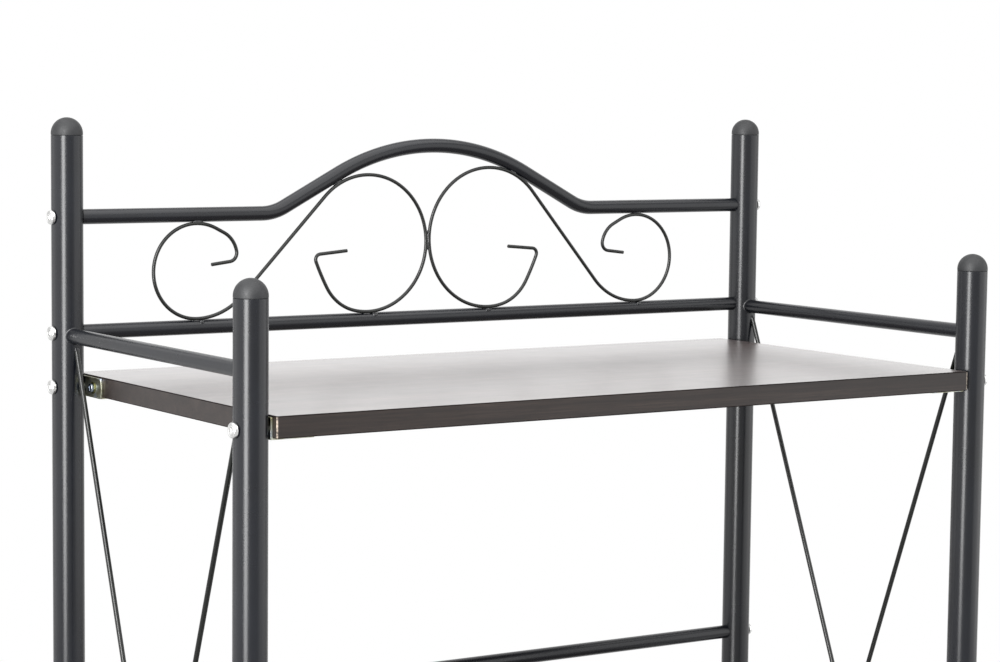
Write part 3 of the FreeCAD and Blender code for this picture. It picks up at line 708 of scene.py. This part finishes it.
for tier, z in rack["boards"].items():
    sides = roundedBox((boardEndX, board["depth"], board["thick"] / 2), board["edge"],
                       board["lines"], boardMasks)
    for side in sides:
        side["points"] = side["points"] + [0, 0, z]
    piece = buildPiece(f"wenge_board_{tier}", sides, "wenge", replaces=[f"shelf_{tier}"],
                       sharp=60)
    piece.data.materials.append(materials["edgeBand"])
    up = np.empty(len(piece.data.polygons) * 3)
    piece.data.polygons.foreach_get("normal", up)
    onEdge = (np.abs(up[2::3]) < 0.85).astype(np.int32)  # the band covers the four narrow sides
    piece.data.polygons.foreach_set("material_index", onEdge)
print("boards built")


bracket = {"thick": 1.2, "outerReach": 7.2, "innerReach": 33.0, "flange": 35.0, "topMargin": 1.2,
           "bulge": 2.5, "rim": 0.7, "rimWide": 0.9, "postGap": 0.3, "corner": 3.0, "fold": 0.6,
           "outerCorner": 2.0, "innerCorner": 1.5, "bossRadius": 4.25, "bossLong": 4.0, "bossOut": 0.4}


# End leg in the plane of the board's end as (y, z): three straight sides and a bulged one.
def legOutline():
    outer = postY + bracket["outerReach"]
    inner = postY - bracket["innerReach"]
    low = -board["thick"] / 2 - bracket["thick"]
    high = board["thick"] / 2 - bracket["topMargin"]
    t = np.linspace(1, 0, 9)[:, None]
    bulged = np.array([[inner, low]]) * (1 - t) + np.array([[inner, high]]) * t
    bulged[:, :1] -= bracket["bulge"] * 4 * t * (1 - t)
    line = np.concatenate([[[outer, low], [outer, high]], bulged])
    bulgeEnd = [bracket["innerCorner"]]
    radii = np.array([bracket["outerCorner"]] * 2 + bulgeEnd + [0.0] * 7 + bulgeEnd)
    return rounded(line, radii, steps=5, closed=True)


# Each point of a closed outline moved inwards along its own normal.
def insetOutline(line, amount):
    ahead = np.roll(line, -1, 0) - np.roll(line, 1, 0)
    ahead /= np.linalg.norm(ahead, axis=1, keepdims=True)
    return line + amount * np.stack([-ahead[:, 1], ahead[:, 0]], 1) * windingOf(line)


# 1 for an outline that runs anticlockwise, -1 for a clockwise one, by the sign of its area.
def windingOf(line):
    area = np.sum(line[:, 0] * np.roll(line[:, 1], -1) - np.roll(line[:, 0], -1) * line[:, 1])
    return 1 if area > 0 else -1


# Outline carried through a profile of (inset, height), both its ends shrunk to their middle: a
# pressed tray with a raised rim.
def trayPatch(line, profile):
    def shrunk(row, shares):
        middle = np.append(line.mean(0), row[0, 2])
        return [middle + (row - middle) * s for s in shares]
    rows = [np.concatenate([insetOutline(line, inset), np.full((len(line), 1), height)], 1)
            for inset, height in profile]
    return np.stack(shrunk(rows[0], (0, 0.5, 0.9)) + rows + shrunk(rows[-1], (0.9, 0.5, 0)))


# One corner bracket: the pressed leg on the board's end, cut back round the post to
# sqrt(R^2 - across^2), the plate under the board, and the boss for the bolt, flipped to its corner.
def bracketPatches(x, y, z):
    thick, rim, wide = bracket["thick"], bracket["rim"], bracket["rimWide"]
    profile = rounded([(0.6, 0), (0, 0), (0, thick + rim), (wide, thick + rim), (wide, thick),
                       (wide + 1.2, thick)], [0, 0.3, 0.35, 0.35, 0.6, 0], steps=4)
    tray = trayPatch(legOutline(), profile)
    leg = np.stack([boardEndX + tray[..., 2], tray[..., 0], tray[..., 1]], -1)
    across = leg[..., 1] - postY
    clear = postRadius + bracket["postGap"]
    room = postX - np.sqrt(np.clip(clear ** 2 - across ** 2, 0, None))
    leg[..., 0] = np.where(np.abs(across) < clear, np.minimum(leg[..., 0], room), leg[..., 0])
    outer, inner = postY + bracket["outerReach"], postY - bracket["innerReach"]
    endX = boardEndX + thick
    baseX = endX - bracket["flange"]
    outline = rounded([(endX, inner), (endX, outer), (baseX, outer), (baseX, inner)],
                      [bracket["fold"]] * 2 + [bracket["corner"]] * 2, steps=6, closed=True)
    plate = trayPatch(outline, rounded([(0.5, 0), (0, 0), (0, -thick), (0.5, -thick)], [0, 0.2, 0.2, 0]))
    plate[..., 2] -= board["thick"] / 2
    bossLow, bossHigh = -bracket["bossLong"], bracket["bossOut"]
    boss = turned(rounded([(0, bossLow), (bracket["bossRadius"], bossLow),
                           (bracket["bossRadius"], bossHigh), (0, bossHigh)], 0.2), 24)
    boss = aimed(boss, (1, 0, 0), (boardEndX, postY, -rack["boltDrop"]))
    return [patch(part * [x, y, 1] + [0, 0, z]) for part in (leg, plate, boss)]


for tier, z in rack["boards"].items():
    patches = []
    for x, y in corners:
        patches += bracketPatches(x, y, z)
    buildPiece(f"pressed_brackets_{tier}", patches, "zinc", replaces=[f"shelf_brackets_{tier}"],
               sharp=35)
print("brackets built")


screw = {"headRadius": 3.5, "headHeight": 2.2, "shank": 1.75, "endInset": 19.0, "washer": (4.75, 0.8),
         "crossWide": 0.55, "crossReach": 2.0, "crossDeep": 0.9, "baseInset": 14.0, "baseReach": 20.0,
         "headEdge": 1.15, "faceRadius": 2.4, "endLong": 18.0, "baseLong": 12.0, "washerBore": 1.8}


# Pan head with a cross recess: a flat face with a round shoulder, less a smooth cross-shaped step.
def screwPatch(length):
    shoulder = [2.7, 3.0, 3.25, 3.42, screw["headRadius"]]
    radius = np.concatenate([np.linspace(0, screw["faceRadius"], 13), shoulder])[:, None]
    angle = circle(64)
    share = radius / screw["headRadius"]
    dome = screw["headHeight"] - 0.35 * share ** 8 - 0.7 * share ** 24
    x, y = radius * np.cos(angle), radius * np.sin(angle)
    arm = np.minimum(np.abs(x), np.abs(y))
    inside = np.clip((screw["crossWide"] - arm) / 0.22, 0, 1) * np.clip(
        (screw["crossReach"] - radius) / 0.35, 0, 1)
    height = dome - screw["crossDeep"] * inside * (1 - 0.35 * radius / screw["crossReach"])
    head = np.stack([x, y, height], -1)
    profile = rounded([(screw["headRadius"], screw["headEdge"]), (screw["headRadius"], 0),
                       (screw["shank"], 0), (screw["shank"], screw["shank"] - length), (0, -length)],
                      [0, 0.15, 0.1, 0.2, 0])
    return np.concatenate([head, turned(profile, 64)])


screws, washers, baseScrews = [], [], []
washerLoop = rounded([(screw["washerBore"], 0), (screw["washer"][0], 0), screw["washer"],
                      (screw["washerBore"], screw["washer"][1])], 0.2, closed=True)
for tier, z in rack["boards"].items():
    for x, y in corners:
        seatX = boardEndX + bracket["thick"]
        place = np.array([x * seatX, y * (postY - screw["endInset"]), z - rack["boltDrop"]])
        lift = np.array([x * screw["washer"][1], 0, 0])
        screws.append(patch(aimed(screwPatch(screw["endLong"]), (x, 0, 0), place + lift)))
        washers.append(patch(aimed(turned(washerLoop, 40), (x, 0, 0), place), wrapRows=True))
        under = (x * (boardEndX - screw["baseReach"]), y * (postY - screw["baseInset"]),
                 z - board["thick"] / 2 - bracket["thick"])
        baseScrews.append(patch(aimed(screwPatch(screw["baseLong"]), (0, 0, -1), under)))
buildPiece("end_screws", screws, "screwZinc", replaces=["bracket_end_screws"], sharp=35)
buildPiece("end_washers", washers, "washerZinc", replaces=["bracket_end_washers"])
buildPiece("base_screws", baseScrews, "screwZinc", replaces=["bracket_base_screws"],
           sharp=35)
print("screws built")


bolt = {"headRadius": 5.9, "faceRadius": 4.8, "height": 2.97, "rim": 0.5, "dish": 0.08, "keyFlat": 2.0,
        "keyDeep": 0.9, "ringRadius": 3.7, "ringWide": 0.3, "ringDeep": 0.3, "shank": 3.0, "length": 40.0}


# Button head: rows run from a hexagon, h(a) = flat / cos(a mod 60 - 30), to a round face that rises
# gently to its edge, with a ring pressed in it of depth deep * exp(-((radius - ring) / wide)^2), then
# down a quarter-ellipse shoulder to the rim.
def boltPatch():
    angle = circle(96)
    hexagon = bolt["keyFlat"] / np.cos((angle % (turn / 6)) - turn / 12)
    s = np.append(0, np.linspace(0.03, 1, 21))[:, None]
    radius = hexagon * (1 - s) + bolt["faceRadius"] * s
    height = (bolt["height"] - bolt["dish"] * (1 - s) ** 2
              - bolt["ringDeep"] * np.exp(-((radius - bolt["ringRadius"]) / bolt["ringWide"]) ** 2))
    face = ringAt(radius, angle, height)
    a = np.linspace(0, math.pi / 2, 10)[1:, None]
    shoulder = bolt["faceRadius"] + (bolt["headRadius"] - bolt["faceRadius"]) * np.sin(a)
    side = ringAt(shoulder, angle, bolt["rim"] + (bolt["height"] - bolt["rim"]) * np.cos(a))
    walls = []
    floor = bolt["height"] - bolt["keyDeep"]
    for share, level in ((0, floor - 0.5), (0.6, floor - 0.15), (0.97, floor), (0.985, floor + 0.05),
                         (0.985, bolt["height"] - 0.5)):
        walls.append(ringAt(hexagon * share, angle, level))
    shank = rounded([(bolt["headRadius"], bolt["rim"]), (bolt["headRadius"], 0), (bolt["shank"], 0),
                     (bolt["shank"], -bolt["length"]), (0, -bolt["length"])], [0, 0.25, 0.1, 0.5, 0])[1:]
    return np.concatenate([np.stack(walls), face, side, turned(shank, 96)])


# A bolt in each post of the given rows at each height, its head outwards.
def boltRow(heights, rows):
    patches = []
    for x in (-1, 1):
        for y in rows:
            for z in heights:
                place = (x * (postX + postRadius), y * postY, z)
                patches.append(patch(aimed(boltPatch(), (x, 0, 0), place)))
    return patches


boardBolts = [z - rack["boltDrop"] for z in rack["boards"].values()]
railBolts = list(rack["backRails"].values()) + [rack["archRail"]]
buildPiece("board_bolts", boltRow(boardBolts, (-1, 1)), "nickel", replaces=["shelf_bolts"],
           sharp=30)
buildPiece("back_rail_bolts", boltRow(railBolts, (1,)), "nickel", replaces=["rail_bolts"],
           sharp=30)
print("bolts built")


cap = {"rim": 1.5, "gap": 0.2, "spigotLong": 12.0, "spigot": 11.2, "bore": 9.2, "crown": 4.0}


# Short straight rim, a half-sphere above it, and a hollow spigot below.
def capPatch():
    radius = postRadius
    a = np.linspace(0, math.pi / 2, 22)[:, None]
    dome = np.concatenate([radius * np.cos(a), cap["rim"] + radius * np.sin(a)], 1)
    skirt = rounded([(0, cap["crown"]), (cap["bore"], cap["crown"]), (cap["bore"], -cap["spigotLong"]),
                     (cap["spigot"], -cap["spigotLong"]), (cap["spigot"], cap["gap"]),
                     (radius, cap["gap"]), tuple(dome[0])], [0, 0.5, 0.3, 0.4, 0.1, 0.35, 0])
    return turned(np.concatenate([skirt[:-1], dome]), 64)


caps = []
for x, y in corners:
    place = np.array([x * postX, y * postY, post["tops"][y]])
    caps.append(patch(capPatch() + place))
buildPiece("moulded_post_caps", caps, "cap", replaces=["post_caps"])
print("caps built")


foot = {"padRadius": 12.0, "padTop": 8.5, "padHeight": 8.0, "padEdge": 2.5, "collar": 13.0,
        "collarHeight": 4.0, "studRadius": 4.0, "pitch": 1.25, "threadDeep": 0.45, "studLong": 30.0,
        "flange": 2.0, "socketLong": 22.0, "socketBore": 4.1, "socketRadius": 11.2, "studFoot": 3.5,
        "hollowRadius": 8.5, "soleRadius": 9.5, "hollow": 0.4, "taperLong": 1.5, "taperDeep": 1.6,
        "collarCut": [(0, 0), (0, 6.6), (0.25, 7.1), (0.5, 8.0)]}  # depth from a face, cone radius there


# Threaded stud: radius less a triangle wave of (height / pitch - angle / turn).
def threadPatch(low, high):
    angle = circle(32)
    heights = np.linspace(low, high, int((high - low) / foot["pitch"] * 6) + 1)[:, None]
    wave = np.abs(2 * ((heights / foot["pitch"] - angle / turn) % 1) - 1)
    taper = np.clip((high - heights) / foot["taperLong"], 0, 1)
    radius = foot["studRadius"] - foot["threadDeep"] * (wave * taper + (1 - taper) * foot["taperDeep"])
    first, last = (ringAt(0, angle, z)[None] for z in (low, high))
    return np.concatenate([first, ringAt(radius, angle, heights), last])


# Hexagon with its corners cut by a cone, as on a nut: min(hexagon radius, cone radius).
def collarPatch():
    angle = circle(96)
    hexagon = foot["collar"] / 2 / np.cos((angle % (turn / 6)) - turn / 12)
    levels = foot["collarCut"] + [(foot["collarHeight"] - depth, cut)
                                  for depth, cut in foot["collarCut"][::-1]]
    return np.stack([ringAt(np.minimum(hexagon, cut), angle, foot["padHeight"] + height)
                     for height, cut in levels])


# Moulded pad: a (radius, height) profile turned round Z, a cone with a shallow hollow under it.
def padPatch():
    profile = rounded([(0, foot["hollow"]), (foot["hollowRadius"], foot["hollow"]),
                       (foot["soleRadius"], 0), (foot["padRadius"] - 0.8, 0),
                       (foot["padRadius"], foot["padEdge"]), (foot["padTop"], foot["padHeight"]),
                       (0, foot["padHeight"])],
                      [0, 0.3, 0.3, 0.6, 0.8, 0.7, 0], steps=5)
    return turned(profile, 60)


sockets = []
for x, y in corners:
    name = f"{rowNames[y]}_{sideNames[x]}"
    place = np.array([x * postX, y * postY, 0])
    top = foot["padHeight"] + foot["collarHeight"] + foot["studLong"]
    buildPiece(f"threaded_stud_{name}", [patch(threadPatch(foot["studFoot"], top) + place),
                                         patch(collarPatch() + place)],
               "screwZinc", body=f"foot_{name}", replaces=[f"foot_stud_{name}"], sharp=30)
    buildPiece(f"moulded_pad_{name}", [patch(padPatch() + place)], "footPlastic",
               body=f"foot_{name}", replaces=[f"foot_pad_{name}"])
    low = post["foot"] - foot["flange"]
    high = post["foot"] + foot["socketLong"]
    loop = rounded([(foot["socketBore"], low), (postRadius, low), (postRadius, post["foot"]),
                    (foot["socketRadius"], post["foot"]), (foot["socketRadius"], high),
                    (foot["socketBore"], high)], 0.3, closed=True)
    sockets.append(patch(turned(loop, 48) + place, wrapRows=True))
buildPiece("moulded_foot_sockets", sockets, "footPlastic", replaces=["foot_sockets"])
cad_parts["rail_inserts"].data.materials.clear()
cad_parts["rail_inserts"].data.materials.append(materials["zinc"])
print("feet built")


studio = {"floorRadius": 2300.0, "floorDrop": 0.2, "floorRings": 12, "floorSides": 72,
          "floor": "#efefef", "fade": (0.55, 0.98), "ambient": 0.3, "aimHeight": 0.75}


# Matt pale floor that fades out towards its rim.
def floorPaint(tree, v):
    where = addNode(tree, "TexCoord").outputs["Object"]
    reach = addNode(tree, "VectorMath", {"operation": "LENGTH"}, {0: where})
    radius = v["floorRadius"] * mm
    fade = addNode(tree, "MapRange", {1: radius * v["fade"][0], 2: radius * v["fade"][1], 3: 0.0, 4: 1.0,
                                      "interpolation_type": "SMOOTHSTEP"}, {0: reach.outputs["Value"]})
    matt = addNode(tree, "BsdfDiffuse", {"Color": v["floor"]})
    white = addNode(tree, "Emission", {"Color": "#ffffff"})
    mirrored = addNode(tree, "LightPath").outputs["Is Glossy Ray"]  # the coat mirrors a white floor
    paper = addNode(tree, "MixShader", links={0: mirrored, 1: matt.outputs[0], 2: white.outputs[0]})
    clear = addNode(tree, "BsdfTransparent")
    return addNode(tree, "MixShader", links={0: fade.outputs[0], 1: paper.outputs[0], 2: clear.outputs[0]})


# Disc just below the pads: x = r cos a, y = r sin a.
def makeFloor():
    rings, sides = studio["floorRings"], studio["floorSides"]
    radius = np.linspace(0, studio["floorRadius"], rings)
    disc = turned(np.stack([radius, np.full(rings, -studio["floorDrop"])], 1), sides) * mm
    mesh = bpy.data.meshes.new("studio_floor")
    r, c = gridQuads(rings, sides, False, True)
    mesh.from_pydata(disc.reshape(-1, 3), [], (r * sides + c % sides)[:, ::-1])
    mesh.materials.append(makeMaterial("mattPaperFloor", floorPaint, studio))
    floor = bpy.data.objects.new("studio_floor", mesh)
    bpy.context.scene.collection.objects.link(floor)


# White for the camera and for mirror-like rays, a plain grey level for the rest.
def makeWorld():
    world = bpy.data.worlds.new("studioWorld")
    world.use_nodes = True
    tree = world.node_tree
    tree.nodes.clear()
    rays = addNode(tree, "LightPath")
    seen = rays.outputs["Is Camera Ray"]
    for ray in ("Is Glossy Ray", "Is Transmission Ray"):
        seen = addNode(tree, "Math", {"operation": "MAXIMUM"}, {0: seen, 1: rays.outputs[ray]}).outputs[0]
    level = addNode(tree, "MapRange", {3: studio["ambient"], 4: 1.0}, {0: seen})
    glow = addNode(tree, "Background", {"Color": "#ffffff"}, {"Strength": level.outputs[0]})
    addNode(tree, "OutputWorld", links={"Surface": glow.outputs[0]})
    bpy.context.scene.world = world


# Softboxes: bearing from the rack in degrees left of straight ahead, then distance, height and size
# in metres, and radiance.
softboxes = {
    "keySoftbox": {"bearing": 58.0, "distance": 2.3, "height": 1.3, "size": (0.82, 2.2), "radiance": 20.0},
    "leftScreen": {"bearing": 112.0, "distance": 3.0, "height": 1.2, "size": (3.6, 2.4), "radiance": 1.0},
    "rightScreen": {"bearing": -52.0, "distance": 2.8, "height": 1.2, "size": (3.4, 2.4), "radiance": 1.2},
    "overheadSoftbox": {"bearing": 34.0, "distance": 0.9, "height": 3.1, "size": (5.0, 4.4), "radiance": 2.4},
    "backScreen": {"bearing": -155.0, "distance": 3.0, "height": 2.5, "size": (6.0, 2.4), "radiance": 0.4},
}


# Rectangle of even light; its power is radiance x pi x area.
def makeSoftbox(name, bearing, distance, height, size, radiance):
    lamp = bpy.data.lights.new(name, "AREA")
    lamp.shape = "RECTANGLE"
    lamp.size, lamp.size_y = size
    lamp.energy = radiance * math.pi * size[0] * size[1]
    box = bpy.data.objects.new(name, lamp)
    angle = math.radians(bearing)
    box.location = (-math.sin(angle) * distance, -math.cos(angle) * distance, height)
    aim = Vector((0, 0, studio["aimHeight"])) - box.location
    box.rotation_euler = aim.to_track_quat("-Z", "Y").to_euler()
    bpy.context.scene.collection.objects.link(box)


camera = {"place": (-1.21790, -1.80358, 1.12707), "yaw": 33.405, "pitch": 5.535, "roll": 0.639,
          "lens": 97.21, "sensor": 36.0, "shift": (-0.00177, 0.01793), "clip": (0.05, 60.0)}


# Looks along (sin yaw cos pitch, cos yaw cos pitch, -sin pitch), then rolls about that line.
def makeCamera():
    yaw, pitch, roll = (math.radians(camera[key]) for key in ("yaw", "pitch", "roll"))
    ahead = Vector((math.sin(yaw) * math.cos(pitch), math.cos(yaw) * math.cos(pitch), -math.sin(pitch)))
    right = ahead.cross(Vector((0, 0, 1))).normalized()
    up = right.cross(ahead)
    x = right * math.cos(roll) + up * math.sin(roll)
    y = up * math.cos(roll) - right * math.sin(roll)
    lens = bpy.data.cameras.new("viewer")
    lens.lens, lens.sensor_width = camera["lens"], camera["sensor"]
    lens.shift_x, lens.shift_y = camera["shift"]
    lens.clip_start, lens.clip_end = camera["clip"]
    viewer = bpy.data.objects.new("viewer", lens)
    viewer.matrix_world = Matrix.Translation(camera["place"]) @ Matrix((x, y, -ahead)).transposed().to_4x4()
    bpy.context.scene.collection.objects.link(viewer)
    bpy.context.scene.camera = viewer


makeFloor()
makeWorld()
for name, values in softboxes.items():
    makeSoftbox(name, **values)
makeCamera()
bpy.context.scene.view_settings.view_transform = "Standard"
bpy.context.view_layer.update()
print("studio and camera set")
